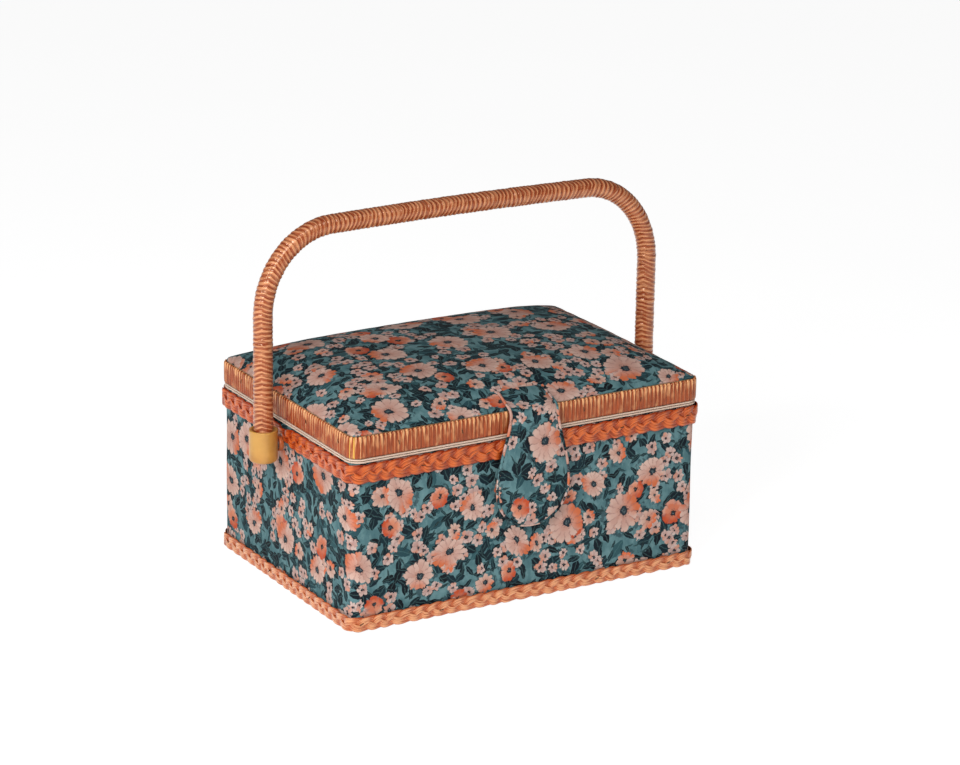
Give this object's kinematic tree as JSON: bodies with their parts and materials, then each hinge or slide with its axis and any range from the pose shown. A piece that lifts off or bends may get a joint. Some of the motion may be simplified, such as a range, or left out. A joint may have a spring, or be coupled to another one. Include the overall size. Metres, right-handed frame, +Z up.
{
  "type": "sewing box with trays",
  "caption": "Cloth-covered sewing box with a padded hinged lid, a closing tab, a swinging wrapped carrying handle and lift-out compartment trays.",
  "frame": {"origin": "on the table, at the middle of the box's footprint", "axes": "+Z up; +X along the front to the right; +Y from the front, with the closing tab, to the hinged back"},
  "size_m": [0.3072, 0.1938, 0.2486],
  "materials": {
    "printed_cloth": "matt printed cotton, teal with peach and orange flowers",
    "upper_plait": "glossy translucent copper-orange plaited strands",
    "lower_plait": "satin light copper plaited strands",
    "rim_winding": "glossy orange-tan wound strands",
    "ribbon": "glossy copper-orange wound ribbon",
    "piping_cord": "matt cream cord",
    "satin_lining": "cream satin, quilted",
    "board": "raw fibreboard",
    "rail_wood": "plain softwood",
    "wadding": "white wadding",
    "underside_cloth": "dark woven backing cloth",
    "ferrule_plastic": "satin moulded tan plastic",
    "tray_plastic": "smooth moulded off-white plastic",
    "hinge_steel": "plated steel",
    "handle_core": "bent cane rod"
  },
  "bodies": {
    "case": {"underside_cover": "underside_cloth", "base_board": "board", "front_wall": "board", "back_wall": "board", "left_wall": "board", "right_wall": "board", "corner_post_front_left": "rail_wood", "corner_post_front_right": "rail_wood", "corner_post_back_left": "rail_wood", "corner_post_back_right": "rail_wood", "outer_fabric": "printed_cloth", "lower_braid": "lower_plait", "upper_braid": "upper_plait", "rim_piping": "piping_cord", "lining_front": "satin_lining", "lining_back": "satin_lining", "lining_left": "satin_lining", "lining_right": "satin_lining", "lining_base": "satin_lining", "tray_ledge_front": "rail_wood", "tray_ledge_back": "rail_wood", "hinge_leaf_body_left": "hinge_steel", "hinge_leaf_body_right": "hinge_steel", "snap_stud": "hinge_steel", "pivot_washer_left": "ferrule_plastic", "pivot_washer_right": "ferrule_plastic"},
    "handle_pivots": {"pivot_rivet_left": "hinge_steel", "pivot_rivet_right": "hinge_steel"},
    "handle": {"handle_core": "handle_core", "handle_wrap": "ribbon", "ferrule_left": "ferrule_plastic", "ferrule_right": "ferrule_plastic"},
    "lid": {"lid_rail_front": "rail_wood", "lid_rail_back": "rail_wood", "lid_rail_left": "rail_wood", "lid_rail_right": "rail_wood", "lid_board": "board", "lid_foam": "wadding", "lid_cover": "printed_cloth", "lid_rim_wrap": "rim_winding", "lid_piping": "piping_cord", "lid_lining": "satin_lining", "lid_pocket": "satin_lining", "pocket_elastic": "satin_lining", "pincushion": "satin_lining", "hinge_leaf_lid_left": "hinge_steel", "hinge_leaf_lid_right": "hinge_steel", "hinge_pin_left": "hinge_steel", "hinge_pin_right": "hinge_steel", "tab_anchor": "printed_cloth"},
    "tab": {"tab_flap": "printed_cloth", "tab_piping": "printed_cloth", "snap_socket": "hinge_steel"},
    "left_tray": {"tray_left": "tray_plastic"},
    "right_tray": {"tray_right": "tray_plastic"}
  },
  "joints": [
    {"name": "lid_hinge", "type": "hinge", "parent": "case", "child": "lid", "pos_m": [0, 0.0952, 0.1141], "axis": [-1, 0, 0], "range_deg": [0, 100]},
    {"name": "tab_bend", "type": "hinge", "parent": "lid", "child": "tab", "pos_m": [0, -0.0934, 0.1303], "axis": [-1, 0, 0], "range_deg": [0, 110]},
    {"name": "handle_lean", "type": "hinge", "parent": "case", "child": "handle_pivots", "pos_m": [0, 0, 0.1], "axis": [-1, 0, 0], "range_deg": [0, 95]},
    {"name": "handle_swing", "type": "hinge", "parent": "handle_pivots", "child": "handle", "pos_m": [0, 0, 0.1], "axis": [-1, 0, 0], "range_deg": [-120, 25]},
    {"name": "left_tray_lift", "type": "slide", "parent": "case", "child": "left_tray", "axis": [0, 0, 1], "range_m": [0, 0.012]},
    {"name": "right_tray_lift", "type": "slide", "parent": "case", "child": "right_tray", "axis": [0, 0, 1], "range_m": [0, 0.012]}
  ],
  "couplings": [
    {"joint": "handle_lean", "follows": "lid_hinge", "ratio": 0.95}
  ]
}
